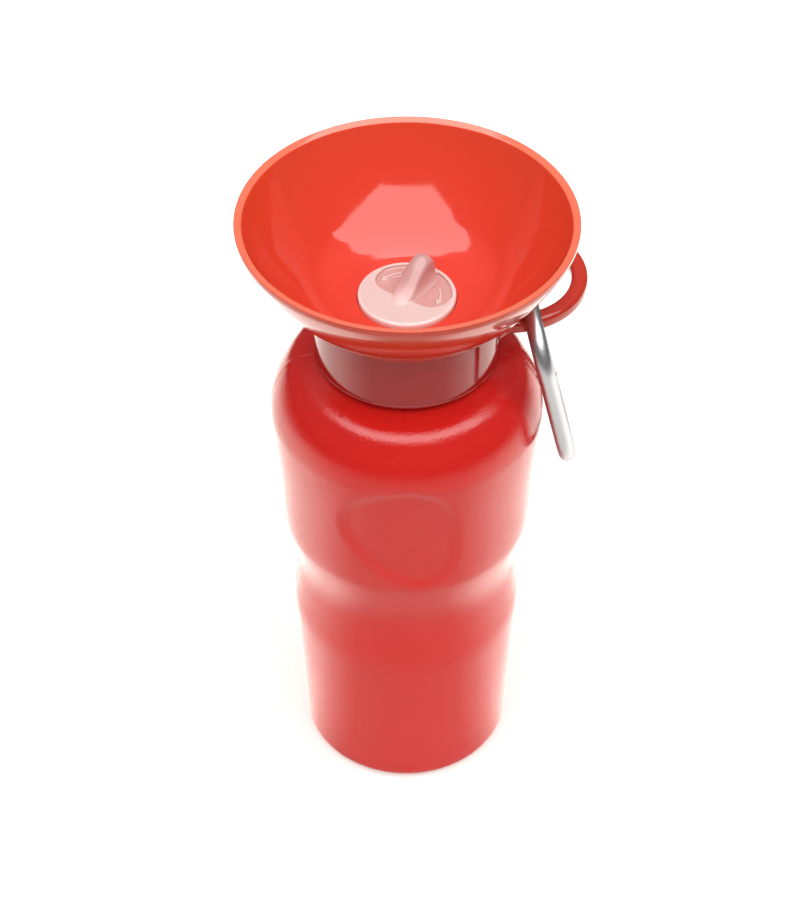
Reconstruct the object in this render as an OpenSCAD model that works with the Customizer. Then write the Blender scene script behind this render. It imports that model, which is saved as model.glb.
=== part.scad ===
// Travel water bottle for a dog: a squeeze bottle whose screw-on cap is a drinking bowl.
// A twist valve in the bowl's floor opens a dip tube, so a squeeze fills the bowl and a
// release draws the water back. A clip hangs on the bowl's carry loop.
// Millimetres, +Z up, origin on the bottle's axis in the plane that it stands on, front at -Y.

/* [Bottle] */
// Radius of the foot above its rounded edge
foot_r = 35.1; // [32:0.1:37]
// Radius of the foot's rounded edge
foot_round = 4.1; // [2:0.1:6]
// Radius of the lower body at its widest
flank_r = 37.6; // [35.5:0.1:39]
// Height of the lower body's widest ring
flank_z = 61; // [56:0.5:64]
// Radius of the waist
waist_r = 34.8; // [33:0.1:36]
// Height of the waist
waist_z = 81; // [78:0.5:84]
// Radius of the grip's lower edge
grip_r = 40.2; // [39:0.1:41]
// Height of the grip's lower edge
grip_z = 103; // [99:0.5:107]
// Radius of the grip at its widest, below the shoulder
bulge_r = 42.7; // [42:0.1:43.5]
// Height of the grip's widest ring
bulge_z = 147; // [144:0.5:149]
// Thickness of the bottle's wall
bottle_wall = 1.3; // [0.9:0.1:1.8]
// Height of the hollow under the base
push_up = 2.2; // [1:0.1:4]
// Width of the ring that the bottle stands on
foot_ring_w = 5; // [3:0.5:8]

/* [Thumb recesses] */
// Width of a thumb recess
thumb_w = 36.9; // [30:0.1:40]
// Height of a thumb recess
thumb_h = 43.2; // [36:0.1:46]
// Height of a thumb recess's centre
thumb_z = 124.8; // [120:0.1:128]
// Distance of a thumb recess's centre from the front plane
thumb_shift = 2; // [0:0.1:5]
// Depth of a thumb recess
thumb_depth = 1.3; // [0.8:0.1:2]

/* [Neck] */
// Outer radius of the neck under its thread
neck_r = 25; // [24:0.1:26]
// Thickness of the neck's wall
neck_wall = 2; // [1.6:0.1:2.6]
// Height of the shoulder's top, where the neck starts
neck_z = 168; // [166.5:0.1:169]
// Length of the neck above the shoulder
neck_len = 15.2; // [13:0.1:17]
// Depth of the screw thread that the neck and the collar share
thread_depth = 1.3; // [1:0.1:1.6]

/* [Bowl] */
// Radius of the bowl's rim
rim_r = 51; // [48:0.5:54]
// Height of the outer wall from the collar's top to the rim
bowl_rise = 29.7; // [26:0.1:34]
// How far the outer wall bulges from a straight cone
bowl_belly = 2; // [1:0.1:3]
// Thickness of the bowl's wall
bowl_wall = 2.5; // [1.8:0.1:3]
// Radius at which the bowl's wall starts to turn into its floor
floor_turn_r = 27; // [26:0.1:28]
// Thickness of the bowl's floor over the bottle
floor_t = 3.5; // [3.2:0.1:4.5]
// Height over which the wall turns into the floor
floor_turn_h = 5; // [4:0.5:7]
// Width of the flat ring of floor round the valve's disc
floor_flat = 2; // [1:0.1:3]
// Thickness of the collar's wall
collar_wall = 2.1; // [1.8:0.1:2.6]
// Height of the collar's top over the ceiling that seats on the neck
collar_rise = 2; // [1.5:0.1:3]
// Gap between the shoulder and the collar's lower edge
collar_gap = 0.5; // [0.3:0.1:1]
// Height of the bead round the collar's lower edge
bead_h = 1.1; // [0.6:0.1:2]
// How far that bead stands out
bead_out = 0.35; // [0.2:0.05:0.6]

/* [Carry loop] */
// Radius of the loop's centreline
loop_r = 22.2; // [21:0.1:24]
// Distance of the loop's centre from the bottle's axis
loop_reach = 36.3; // [35:0.1:38]
// Direction of the loop, from +X towards +Y
loop_turn = 30.4; // [0:0.1:60]
// Width of the loop's bar
loop_w = 5.2; // [4.4:0.1:5.6]
// Thickness of the loop's bar
loop_t = 4.8; // [4:0.1:5]
// Drop of the loop's middle plane under the bowl's floor plane
loop_drop = 7.5; // [6.5:0.1:8.5]
// Length of the flare where the loop's arms meet the collar
flare = 3.2; // [1.5:0.1:4]

/* [Valve] */
// Radius of the valve's disc
disc_r = 15; // [14:0.1:16]
// Thickness of the disc
disc_t = 2.4; // [2.2:0.1:3]
// Depth of the recess that the disc sits in
recess_depth = 1.2; // [0.9:0.1:1.5]
// Direction of the disc's grip, from +X towards +Y
fin_turn = 57; // [0:1:180]
// Length of the grip
fin_len = 23; // [20:0.5:26]
// Thickness of the grip at the disc
fin_t = 6; // [4:0.1:6.5]
// Height of the grip's high end over the disc
fin_h = 8.7; // [7:0.1:10]
// Height of the grip's low end over the disc
fin_low = 0.9; // [0.5:0.1:2]
// Radius of the ball that shapes a finger scoop beside the grip
scoop_r = 12; // [9:0.5:15]
// Depth of a finger scoop
scoop_depth = 1.4; // [0.8:0.1:1.5]
// Outer radius of the hollow stem
stem_r = 8.5; // [8:0.1:9]
// Length of the stem under the disc
stem_len = 14.4; // [13.5:0.1:15]
// Thickness of the stem's wall
stem_wall = 2.2; // [1.6:0.1:2.6]
// How far the disc lifts between closed and open
valve_lift = 2.4; // [2:0.1:2.6]
// Turn of the disc between closed and open, in degrees
valve_turn = 90; // [60:5:100]
// Radius of the two lugs that ride in the cam grooves
lug_r = 1.5; // [1.2:0.1:1.7]
// How far a lug stands out of the stem
lug_out = 1.3; // [1:0.1:1.5]
// Number of water ports round the stem
port_count = 4; // [2:1:5]
// Width of a water port
port_w = 6; // [4:0.1:7]
// Height of a water port
port_h = 2.2; // [1.8:0.1:2.3]
// Thickness of the housing's wall round the stem
housing_wall = 2.6; // [2.3:0.1:3.2]
// Height of the housing's chamber under the closed stem
chamber_h = 1.5; // [1:0.1:2.5]
// Thickness of the housing's floor over the tube's socket
chamber_floor = 1.5; // [1:0.1:2.5]

/* [Seals] */
// Thickness of the gasket between the neck and the bowl
gasket_t = 1.6; // [1.2:0.1:2]
// Width of the seal ring under the disc
seal_w = 2.2; // [1.8:0.1:2.4]
// Height of that seal ring
seal_h = 1.1; // [0.9:0.1:1.2]
// Distance from the disc's edge to the seal ring
seal_edge = 1.2; // [1:0.1:1.5]

/* [Dip tube] */
// Outer radius of the dip tube
tube_r = 4; // [3.5:0.1:4.5]
// Thickness of the tube's wall
tube_wall = 1; // [0.8:0.1:1.2]
// Height of the tube's lower end over the bottle's floor
tube_lift = 4; // [3:0.5:8]
// Length of the tube inside its socket
socket_len = 9; // [7:0.5:11]
// Thickness of the socket's wall
socket_wall = 1.8; // [1.4:0.1:2.2]
// Height of the slanted cut at the tube's lower end
tube_cut = 5; // [2:0.5:6]

/* [Clip] */
// Radius of the clip's rod
rod_r = 2.7; // [2.4:0.1:2.8]
// Distance between the clip's two sides, centre to centre
clip_w = 30; // [27:0.5:31]
// Length of the clip, centre to centre of its two bends
clip_len = 57.4; // [54:0.1:60]
// Place of the clip on the loop, an angle round the loop's centre
clip_place = -74.5; // [-80:0.5:-70]
// Direction that the clip faces, from +X towards +Y
clip_turn = 6; // [3:0.5:8]
// Lean of the clip, whose lower end rests against the bottle
clip_lean = 13.2; // [12.9:0.1:15]
// Radius of the gate's rod
gate_r = 2.5; // [2.3:0.1:2.5]
// Thickness of the frame's tongues inside the gate's forks
tongue_t = 2.2; // [1.8:0.1:2.4]
// Height of the latch pin over the middle of the lower bend
latch_rise = 2.6; // [2.2:0.1:4]
// Radius of the gate's hinge pin and latch pin
pin_r = 0.8; // [0.7:0.05:0.9]
// Radius of the spring's coil, to the middle of its wire
spring_r = 1; // [0.9:0.05:1.05]
// Radius of the spring's wire
wire_r = 0.2; // [0.15:0.01:0.22]
// Length of the pocket that holds the spring
spring_len = 8; // [6:0.5:10]
// Number of turns of the spring
spring_turns = 6; // [4:1:7]

/* [Fits] */
// Gap round a part that turns or slides in another
run_gap = 0.2; // [0.15:0.01:0.3]
// Gap between faces that seat on each other
seat_gap = 0.05; // [0.03:0.01:0.1]
// Gap round the hinge pin
pin_gap = 0.05; // [0.03:0.01:0.08]
// Gap between parts of the clip and what they move past
swing_gap = 0.3; // [0.25:0.01:0.4]

/* [Hidden] */
$fn = 96;
eps = 0.01;

bottle_red = [0.80, 0.13, 0.12];
bowl_red = [0.90, 0.25, 0.17];
milky = [0.93, 0.78, 0.76];
steel = [0.74, 0.74, 0.75];

// Heights
neck_top = neck_z + neck_len;
ceiling_z = neck_top + gasket_t + 2 * seat_gap;
floor_z = ceiling_z + floor_t;
collar_z = neck_z + collar_gap;
wall_z = ceiling_z + collar_rise;
recess_z = floor_z - recess_depth;
disc_z = recess_z + swing_gap;
disc_top = disc_z + disc_t;
loop_z = floor_z - loop_drop;

// Radii
neck_bore = neck_r - neck_wall;
collar_bore = neck_r + thread_depth + swing_gap;
collar_r = collar_bore + collar_wall;
housing_bore = stem_r + run_gap;
housing_r = housing_bore + housing_wall;
seal_out = disc_r - seal_edge;
seal_in = seal_out - seal_w;

// Inside the valve's housing
stem_end_z = disc_z - stem_len;
chamber_z = stem_end_z - chamber_h;
socket_top_z = chamber_z - chamber_floor;
socket_end_z = socket_top_z - socket_len;
socket_bore = tube_r + seat_gap;
socket_r = socket_bore + socket_wall;
passage_r = tube_r - tube_wall;
lug_z = stem_end_z + lug_r + 1;
cam_r = lug_r + run_gap;
cam_steps = 14;

// The clip in its own frame: X across, Y out of its plane, Z along it, with the middle of
// the upper bend's rod at the origin
half_w = clip_w / 2;
bend_low = half_w - clip_len;
hinge_z = -half_w - gate_r - swing_gap - run_gap;
latch_z = bend_low + latch_rise;
gate_low = bend_low + swing_gap + run_gap;
fork_gap = tongue_t + 2 * swing_gap;
tongue_r = gate_r - run_gap;
spring_top = hinge_z - gate_r;

// Rise of the clip from the loop's top, where the upper bend arches over the bar
arch_r = half_w - rod_r;
seat_rise = arch_r - sqrt(arch_r ^ 2 - (0.35 * loop_w) ^ 2);
clip_z = loop_z + loop_t / 2 + swing_gap + rod_r + seat_rise;

// Middle of a smooth curve's stretch i, at share t of it
function curve_point(p, i, t) =
    let (n = len(p) - 1, a = p[max(i - 1, 0)], b = p[i], c = p[i + 1], d = p[min(i + 2, n)])
    0.5 * (2 * b + (c - a) * t + (2 * a - 5 * b + 4 * c - d) * t ^ 2
        + (3 * b - a - 3 * c + d) * t ^ 3);

// Smooth open curve through the points p
function curve(p, steps) = concat(
    [for (i = [0 : len(p) - 2]) for (s = [0 : steps - 1]) curve_point(p, i, s / steps)],
    [p[len(p) - 1]]);

// Smooth closed curve through the points p
function loop_curve(p, steps) =
    let (n = len(p), q = [for (i = [-1 : n + 1]) p[(i + n) % n]])
    [for (i = [1 : n]) for (s = [0 : steps - 1]) curve_point(q, i, s / steps)];

// Arc-like curve from a to b that stands sag off the straight line, to its right
function bow(a, b, sag, steps) =
    let (d = b - a, side = [d[1], -d[0]] / norm(d))
    [for (s = [0 : steps]) let (t = s / steps) a + d * t + side * 4 * sag * t * (1 - t)];

// Curve from a to c that leaves and arrives along the lines through b
function corner(a, b, c, steps) =
    [for (s = [0 : steps]) let (t = s / steps)
        a * (1 - t) ^ 2 + b * 2 * t * (1 - t) + c * t ^ 2];

// The path p moved to its left by t, the wall's inner face
function inset(p, t) =
    [for (i = [0 : len(p) - 1])
        let (d = p[min(i + 1, len(p) - 1)] - p[max(i - 1, 0)])
        p[i] + [-d[1], d[0]] * t / norm(d)];

function flip(p) = [for (i = [len(p) - 1 : -1 : 0]) p[i]];

// ---- Bottle ----

// The point share[0] of the way across and share[1] of the way up from a to b
function between(a, b, share) =
    [a[0] + (b[0] - a[0]) * share[0], a[1] + (b[1] - a[1]) * share[1]];

// Outline from the middle of the base to the top of the shoulder, as [radius, height]
function bottle_outline() =
    let (
        ring_out = foot_r - foot_round,
        ring_in = ring_out - foot_ring_w,
        hollow_r = ring_in - 2 * push_up,
        base = [[0, push_up], [hollow_r - 1, push_up], [hollow_r, push_up],
            [ring_in, 0], [ring_out, 0]],
        edge = [for (a = [15 : 15 : 75])
            [ring_out + foot_round * sin(a), foot_round * (1 - cos(a))]],
        foot = [foot_r, foot_round],
        flank = [flank_r, flank_z],
        waist = [waist_r, waist_z],
        grip = [grip_r, grip_z],
        bulge = [bulge_r, bulge_z],
        neck = [collar_r, neck_z],
        side = [
            foot,
            between(foot, flank, [0.33, 0.36]),
            between(foot, flank, [0.86, 0.82]),
            flank,
            between(flank, waist, [0.36, 0.42]),
            waist,
            between(waist, grip, [0.26, 0.4]),
            between(waist, grip, [0.85, 0.74]),
            grip,
            between(grip, bulge, [0.33, 0.4]),
            between(grip, bulge, [0.94, 0.86]),
            bulge,
            between(bulge, neck, [0.1, 0.29]),
            between(bulge, neck, [0.3, 0.53]),
            between(bulge, neck, [0.59, 0.77]),
            between(bulge, neck, [1, 0.95]),
            [neck_r, neck_z]
        ])
    concat(base, edge, curve(side, 4));

// A thumb recess's outline as seen from the front, wider by grow all round
function thumb_outline(grow) =
    let (shape = [[-1, 0.19], [-0.52, 0.83], [0.22, 1], [0.82, 0.63],
        [1, -0.32], [0.63, -0.96], [-0.03, -0.92], [-0.7, -0.37]])
    [for (p = loop_curve(shape, 5)) [p[0] * (thumb_w / 2 + grow), p[1] * (thumb_h / 2 + grow)]];

// What a thumb recess takes away: a skin of the bottle's own curve, inside its outline
module thumb_cut(depth, grow) {
    outline = bottle_outline();
    intersection() {
        translate([-thumb_shift, 0, thumb_z]) rotate([90, 0, 0])
            linear_extrude(bulge_r + 5) polygon(thumb_outline(grow));
        difference() {
            translate([0, 0, thumb_z - thumb_h]) cylinder(r = bulge_r + 3, h = 2 * thumb_h);
            rotate_extrude() polygon(concat(inset(outline, depth), [[0, neck_z]]));
        }
    }
}

module thumb_cuts(depth, grow) {
    for (a = [0, 180]) rotate([0, 0, a]) thumb_cut(depth, grow);
}

module bottle() {
    outline = bottle_outline();
    color(bottle_red) difference() {
        difference() {
            rotate_extrude()
                polygon(concat(outline, [[neck_r, neck_top], [0, neck_top]]));
            thumb_cuts(thumb_depth, 0);
        }
        difference() {
            rotate_extrude() polygon(concat(
                [for (p = inset(outline, bottle_wall)) if (p[1] < neck_z - 1) p],
                [[neck_bore, neck_z + 1], [neck_bore, neck_top + 1], [0, neck_top + 1]]));
            thumb_cuts(thumb_depth + bottle_wall, bottle_wall);
        }
    }
}

// ---- Bowl, with the collar, the valve's housing and the carry loop ----

// Outer face of the bowl's wall, from the collar to the rim
function bowl_outline() =
    bow([collar_r, wall_z], [rim_r, wall_z + bowl_rise], bowl_belly, 16);

// Half-section of the bowl as [radius, height]
function bowl_section() =
    let (
        outer = bowl_outline(),
        inner = inset(outer, bowl_wall),
        a = outer[len(outer) - 1],
        b = inner[len(inner) - 1],
        lip = [for (t = [20 : 20 : 160])
            (a + b) / 2 + (a - b) / 2 * cos(t) + [b[1] - a[1], a[0] - b[0]] / 2 * sin(t)],
        wall = [for (p = flip(inner)) if (p[1] > floor_z + floor_turn_h) p],
        low = wall[len(wall) - 1])
    concat(
        [[collar_bore, collar_z], [collar_r + bead_out, collar_z],
            [collar_r + bead_out, collar_z + bead_h], [collar_r, collar_z + bead_h]],
        outer, lip, wall,
        corner(low, [floor_turn_r, floor_z], [disc_r + floor_flat, floor_z], 8),
        [[disc_r + run_gap, floor_z], [disc_r + run_gap, recess_z], [housing_bore, recess_z],
            [housing_bore, chamber_z], [passage_r, chamber_z], [passage_r, socket_top_z],
            [socket_bore, socket_top_z], [socket_bore, socket_end_z], [socket_r, socket_end_z],
            [socket_r, socket_top_z - 1], [housing_r, chamber_z],
            [housing_r, ceiling_z], [collar_bore, ceiling_z]]);

// A ring in the loop's place, with a bar of the given width and thickness
module loop_ring(w, t) {
    rotate([0, 0, loop_turn]) translate([loop_reach, 0, loop_z]) rotate_extrude()
        translate([loop_r, 0]) intersection() {
            circle(r = 0.58 * w);
            square([w, t], center = true);
        }
}

// The loop's bar outside the collar, with a flare at each root
module carry_loop() {
    root_r = collar_r - collar_wall / 2;
    rise = loop_t / 2 + flare;
    difference() {
        union() {
            loop_ring(loop_w, loop_t);
            intersection() {
                loop_ring(loop_w + 1.6 * flare, loop_t + 2 * flare);
                rotate_extrude() polygon([
                    [root_r - 0.5, loop_z - rise], [root_r, loop_z - rise],
                    [collar_r + flare, loop_z - loop_t / 4], [collar_r + flare, loop_z + loop_t / 4],
                    [root_r, loop_z + rise], [root_r - 0.5, loop_z + rise]]);
            }
        }
        translate([0, 0, collar_z - 1]) cylinder(r = root_r, h = floor_z - collar_z);
    }
}

// One cam groove: the path of a lug as the valve turns and lifts
module cam_groove() {
    for (s = [0 : cam_steps])
        rotate([0, 0, fin_turn + valve_turn * s / cam_steps])
            translate([stem_r - 1, 0, lug_z + valve_lift * s / cam_steps]) rotate([0, 90, 0])
                cylinder(r = cam_r, h = 1 + lug_out + run_gap);
}

module bowl() {
    color(bowl_red) difference() {
        union() {
            rotate_extrude() polygon(bowl_section());
            carry_loop();
        }
        cam_groove();
        rotate([0, 0, 180]) cam_groove();
    }
}

module neck_gasket() {
    color([0.88, 0.86, 0.84]) translate([0, 0, neck_top + seat_gap]) difference() {
        cylinder(r = collar_bore - swing_gap, h = gasket_t);
        translate([0, 0, -1]) cylinder(r = neck_bore, h = gasket_t + 2);
    }
}

// ---- Valve ----

// Side view of the grip, from its low end to its high end
function fin_side() =
    let (half = fin_len / 2, back = half - 0.6, low = [-half + 2, fin_low + 0.5])
    concat(
        [[-half, -1], [-half, fin_low / 2]],
        corner([-half, fin_low / 2], [-half + 0.5, fin_low], low, 3),
        corner(low, [fin_len * 0.14, fin_h * 0.98], [fin_len * 0.26, fin_h], 8),
        corner([fin_len * 0.3, fin_h], [back, fin_h], [half - 0.2, fin_h * 0.5], 8),
        [[half, -1]]);

// End view of the grip, with a round back
function fin_end() =
    let (top = fin_t * 0.34, side = [top, fin_h - top],
        half = concat([[fin_t / 2 + 0.6, -1], [fin_t / 2, 0.6]],
            [for (a = [0 : 15 : 75]) side + top * [cos(a) - 1, sin(a)] + [0, eps]]))
    concat(half, [[0, fin_h + eps]], [for (p = flip(half)) [-p[0], p[1]]]);

module fin() {
    translate([0, 0, disc_top]) rotate([0, 0, fin_turn]) intersection() {
        translate([0, fin_t, 0]) rotate([90, 0, 0]) linear_extrude(2 * fin_t) polygon(fin_side());
        translate([-fin_len, 0, 0]) rotate([90, 0, 90]) linear_extrude(2 * fin_len)
            polygon(fin_end());
    }
}

// Finger scoops beside the grip
module scoops() {
    for (side = [-1, 1])
        rotate([0, 0, fin_turn])
            translate([0, side * disc_r / 2, disc_top + scoop_r - scoop_depth])
                rotate([90, 0, 0]) sphere(r = scoop_r);
}

module valve_knob() {
    groove_out = seal_out + run_gap;
    groove_in = seal_in - run_gap;
    groove_z = disc_z + seal_h - swing_gap + 2 * seat_gap;
    bore = stem_r - stem_wall;
    color(milky) difference() {
        union() {
            difference() {
                rotate_extrude() polygon([
                    [0, disc_z], [groove_in, disc_z], [groove_in, groove_z],
                    [groove_out, groove_z], [groove_out, disc_z], [disc_r, disc_z],
                    [disc_r, disc_top - 0.6], [disc_r - 0.2, disc_top - 0.15],
                    [disc_r - 0.6, disc_top], [0, disc_top]]);
                scoops();
            }
            fin();
            translate([0, 0, stem_end_z]) cylinder(r = stem_r, h = stem_len + eps);
            for (a = [0, 180])
                rotate([0, 0, fin_turn + a]) translate([stem_r - 1, 0, lug_z]) rotate([0, 90, 0])
                    cylinder(r = lug_r, h = 1 + lug_out);
        }
        translate([0, 0, stem_end_z - 1]) cylinder(r = bore, h = stem_len + 1);
        for (i = [0 : port_count - 1])
            rotate([0, 0, fin_turn + 360 * (i + 0.5) / port_count])
                translate([bore - 1, -port_w / 2, disc_z - swing_gap / 2 - port_h])
                    cube([stem_wall + 2, port_w, port_h]);
    }
}

module valve_seal() {
    color([0.95, 0.9, 0.88]) translate([0, 0, recess_z + seat_gap]) difference() {
        cylinder(r = seal_out, h = seal_h);
        translate([0, 0, -1]) cylinder(r = seal_in, h = seal_h + 2);
    }
}

// ---- Dip tube ----

module dip_tube() {
    bottom = push_up + bottle_wall + tube_lift;
    top = socket_top_z - seat_gap;
    color(milky) difference() {
        translate([0, 0, bottom]) cylinder(r = tube_r, h = top - bottom);
        translate([0, 0, bottom - 1]) cylinder(r = tube_r - tube_wall, h = top - bottom + 2);
        translate([-tube_r, 0, bottom]) rotate([0, atan2(tube_cut, 2 * tube_r), 0])
            mirror([0, 0, 1]) translate([-tube_r, -2 * tube_r, 0]) cube(4 * tube_r);
    }
}

// ---- Clip: frame, gate, pins and spring ----

// Places a piece drawn in the clip's own frame
module on_loop() {
    rotate([0, 0, loop_turn]) translate([loop_reach, 0, 0]) rotate([0, 0, -loop_turn])
        translate([loop_r * cos(clip_place), loop_r * sin(clip_place), clip_z])
            rotate([0, 0, clip_turn]) rotate([0, -clip_lean, 0]) rotate([0, 0, 90]) children();
}

// Half a turn of rod, upwards
module bend() {
    rotate([90, 0, 0]) rotate_extrude(angle = 180) translate([half_w, 0]) circle(r = rod_r);
}

// Flat tongue of the gate's side, from one height to another, with a round end
module tongue(low, high, round_z) {
    translate([half_w, tongue_t / 2, 0]) rotate([90, 0, 0]) linear_extrude(tongue_t) union() {
        translate([-tongue_r, low]) square([2 * tongue_r, high - low]);
        translate([0, round_z]) circle(r = tongue_r);
    }
}

module clip_frame() {
    color(steel) on_loop() clip_rod();
}

// The frame's rod in the clip's own frame
module clip_rod() {
    notch = pin_r + swing_gap;
    translate([0, 0, -half_w]) bend();
    translate([0, 0, bend_low]) mirror([0, 0, 1]) bend();
    translate([-half_w, 0, bend_low - eps]) cylinder(r = rod_r, h = clip_len - clip_w + 2 * eps);
    difference() {
        tongue(hinge_z, -half_w + 1, hinge_z);
        translate([half_w, 0, hinge_z]) rotate([90, 0, 0])
            cylinder(r = pin_r + pin_gap, h = 2 * tongue_t, center = true);
    }
    difference() {
        tongue(bend_low - 1, latch_z + notch + run_gap, latch_z);
        translate([half_w, 0, latch_z]) rotate([90, 0, 0])
            cylinder(r = notch, h = 2 * tongue_t, center = true);
        translate([half_w - 2 * gate_r, -tongue_t, latch_z - notch])
            cube([2 * gate_r, 2 * tongue_t, 2 * notch]);
    }
}

module clip_gate() {
    color(steel) on_loop() difference() {
        intersection() {
            union() {
                translate([half_w, 0, gate_low]) cylinder(r = gate_r, h = hinge_z - gate_low);
                translate([half_w, 0, hinge_z]) rotate([90, 0, 0])
                    cylinder(r = gate_r, h = 2 * gate_r, center = true);
            }
            translate([half_w, 0, gate_low - 1]) cylinder(r = gate_r, h = clip_len);
        }
        translate([0, -fork_gap / 2, hinge_z - gate_r - 0.1])
            cube([clip_w, fork_gap, 2 * gate_r + 2]);
        translate([0, -fork_gap / 2, gate_low - 1])
            cube([clip_w, fork_gap, latch_z - gate_low + 1 + gate_r]);
        translate([half_w, 0, spring_top - spring_len])
            cylinder(r = spring_r + wire_r + run_gap, h = spring_len + 1);
        for (z = [hinge_z, latch_z])
            translate([half_w, 0, z]) rotate([90, 0, 0])
                cylinder(r = pin_r + pin_gap, h = 3 * gate_r, center = true);
    }
}

// A cross pin at height z of the clip, flush with a rod of the gate's size
module cross_pin(z) {
    color([0.5, 0.5, 0.52]) on_loop() translate([half_w, 0, z]) rotate([90, 0, 0])
        cylinder(r = pin_r, h = 2 * tongue_r, center = true);
}

module gate_pin() {
    cross_pin(hinge_z);
}

module latch_pin() {
    cross_pin(latch_z);
}

// Rings of points round the spring's wire, one ring per step along the coil
module gate_spring() {
    sides = 6;
    turn_steps = 12;
    steps = spring_turns * turn_steps;
    low = spring_top - spring_len + wire_r + 0.1;
    rise = spring_len - 2 * wire_r - 0.2;
    points = [for (i = [0 : steps]) for (k = [0 : sides - 1])
        let (a = 360 * i / turn_steps, b = 360 * k / sides, r = spring_r + wire_r * cos(b))
        [r * cos(a), r * sin(a), low + rise * i / steps + wire_r * sin(b)]];
    skin = [for (i = [0 : steps - 1]) for (k = [0 : sides - 1])
        let (n = (k + 1) % sides, p = i * sides)
        [p + k, p + sides + k, p + sides + n, p + n]];
    ends = [[for (k = [0 : sides - 1]) k], [for (k = [sides - 1 : -1 : 0]) steps * sides + k]];
    color([0.6, 0.6, 0.62]) on_loop() translate([half_w, 0, 0])
        polyhedron(points, concat(skin, ends), convexity = 8);
}

bottle();
bowl();
neck_gasket();
valve_knob();
valve_seal();
dip_tube();
clip_frame();
clip_gate();
gate_pin();
latch_pin();
gate_spring();
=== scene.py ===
"""Dog travel water bottle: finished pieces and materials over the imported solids, and the studio.

The tables give sizes in millimetres. Blender works in metres, so MM turns one into the other.
"""

import math

import bpy
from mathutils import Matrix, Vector


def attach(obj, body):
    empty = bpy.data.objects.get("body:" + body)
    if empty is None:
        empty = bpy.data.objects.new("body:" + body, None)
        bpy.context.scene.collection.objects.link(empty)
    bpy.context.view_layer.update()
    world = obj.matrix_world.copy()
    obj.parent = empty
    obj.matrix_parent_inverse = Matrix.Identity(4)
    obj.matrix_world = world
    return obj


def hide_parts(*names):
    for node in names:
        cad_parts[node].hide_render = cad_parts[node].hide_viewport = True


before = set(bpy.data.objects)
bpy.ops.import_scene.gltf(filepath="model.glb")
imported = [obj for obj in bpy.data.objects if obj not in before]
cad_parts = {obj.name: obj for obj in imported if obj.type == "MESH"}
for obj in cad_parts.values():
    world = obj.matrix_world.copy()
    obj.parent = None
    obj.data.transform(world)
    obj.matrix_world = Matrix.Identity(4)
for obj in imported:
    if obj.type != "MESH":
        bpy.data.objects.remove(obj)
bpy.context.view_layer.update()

MM = 0.001
NEGLIGIBLE = 1e-9  # a turn or a change of size under this is left out
SAME_POINT = 0.0005  # points nearer than this are merged
FULL_TURN = 2 * math.pi

# ---------------------------------------------------------------- sizes, in millimetres

NECK_R = 25.0
NECK_BORE = 23.0
NECK_TOP = 183.2
NECK_WALL = 2.0
BODY_WALL = 1.3
WALL_CHANGE_Z = 164.0  # where the body's thin wall starts to thicken
WALL_CHANGE_H = 4.0
CEILING_Z = 184.9
FLOOR_Z = 188.4
RECESS_Z = 187.2
COLLAR_Z = 168.5
COLLAR_BORE = 26.6
COLLAR_R = 28.7
WALL_Z = 186.9
RIM_R = 51.0
RIM_TOP = 218.36
BOWL_RISE = 29.7
BOWL_BELLY = 2.0
BOWL_WALL = 2.5
FLOOR_TURN_R = 27.0
FLOOR_TURN_H = 5.0
FLOOR_FLAT_R = 17.0
SEAT_R = 12.0
HOUSING_BORE = 8.7
HOUSING_R = 11.3
CHAMBER_Z = 171.6
SOCKET_TOP = 170.1
SOCKET_END = 161.1
SOCKET_BORE = 4.05
SOCKET_R = 5.85
PASSAGE_R = 3.0
LUG_Z = 175.6
CAM_R = 1.7
CAM_OUT = 10.1
CAM_LIFT = 2.4
PITCH = 4.233
THREAD_DEPTH = 1.25
THREAD_Z = 171.2
THREAD_ROOT_HALF = 1.05
THREAD_CREST_HALF = 0.35
THREAD_SINK = 0.055  # share of the radius by which an end fades into its wall

LOOP_R = 22.18
LOOP_REACH = 36.3
LOOP_TURN = math.radians(30.4)
LOOP_Z = 180.9
LOOP_W = 5.2
LOOP_T = 4.8
LOOP_SOFT = 1.55  # corner radius of the loop's bar
LOOP_SWEEP = math.radians(316)  # the part of the circle that stands clear of the collar
LOOP_ROOT = 1.05  # how deep the loop's roots stand in the collar's wall
FLARE = 3.2  # how far out from the collar the loop's bar spreads

DISC_R = 15.0
DISC_Z = 187.5
DISC_TOP = 189.9
DISC_GAP = 0.14
FIN_TURN = math.radians(57.0)
FIN_T = 5.2
FIN_H = 8.7
FIN_SINK = 1.3
POCKET_DEEP = 0.9
POCKET_R = 13.6
POCKET_FRONT = -2.6
STEM_R = 8.5
STEM_BORE = 6.3
STEM_END = 173.1
SEAL_OUT = 14.0
SEAL_IN = 11.4
SEAL_TOP = 188.4
STEM_ROUND = 0.4  # radius where the stem meets the disc
LUG_R = 1.5
LUG_ROOT = STEM_R - 1
LUG_LEN = 2.3
PORT_SIZE = (4.2, 6.0, 2.2)
PORT_REACH = 7.4
PORT_BELOW = 0.15
ARROW_R = 10.2
ARROW_HALF = 0.5
ARROW_HEAD = 1.5
ARROW_SPAN = 30  # degrees of bend in an arrow's shaft
MELT = 0.21  # grain of the mesh that joins the valve's forms

THUMB_W = 36.9
THUMB_H = 43.2
THUMB_Z = 124.8
THUMB_X = -2.0
THUMB_DEPTH = 1.3
THUMB_OVER = 1.3  # the slope starts this far outside the outline
THUMB_SLOPE = 4.4  # and is this wide
THUMB_ROWS = (98.0, 152.0)  # heights that a recess can reach

FINE_ROWS = (100.0, 150.0)  # heights where the bottle's rows are close
FINE_ROW = 0.8
WIDE_ROW = 1.9

PARTING_HALF = 0.13
PARTING_H = 0.07
PARTING_Z = (4.0, 167.5)
PARTING_RAISED = (6.0, 167.0)

# ---------------------------------------------------------------- studio, in metres and strengths

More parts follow.
